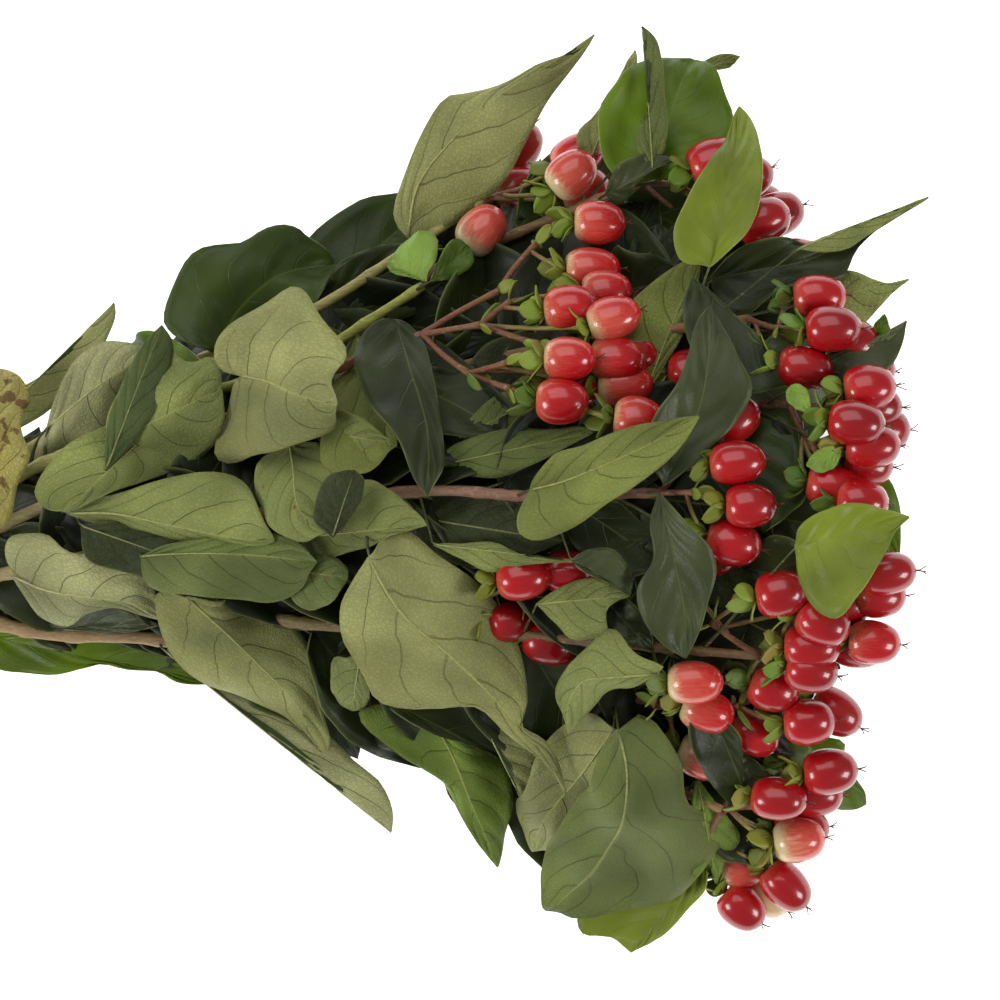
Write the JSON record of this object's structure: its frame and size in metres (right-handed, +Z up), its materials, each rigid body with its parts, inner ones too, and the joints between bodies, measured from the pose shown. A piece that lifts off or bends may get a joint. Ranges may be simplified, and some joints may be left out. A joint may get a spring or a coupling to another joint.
{
  "type": "bunch of hypericum berry stems",
  "caption": "Cut hypericum stems with paired leaves and red berries in sprays at their ends, held in a lying bunch by a rubber band.",
  "frame": {"origin": "on the surface the bunch lies on, under the middle of the rubber band's flat underside", "axes": "+X from the band along the bunch towards the berries, +Z up, +Y to the left seen from above looking along +X"},
  "size_m": [0.4021, 0.2565, 0.1149],
  "materials": {
    "foliage": "living leaf, satin above and matt below",
    "bark": "smooth young bark, tan to red-brown",
    "berry": "glossy waxed berry skin",
    "sepal": "satin yellow-green sepal",
    "rubber_band": "matt natural rubber"
  },
  "bodies": {
    "root": {"stem_01": "foliage", "stem_02": "foliage", "stem_03": "foliage", "stem_04": "foliage", "stem_05": "foliage", "stem_06": "foliage", "stem_07": "foliage", "stem_08": "foliage", "stem_09": "foliage", "stem_10": "foliage", "tie": "rubber_band"}
  },
  "joints": []
}
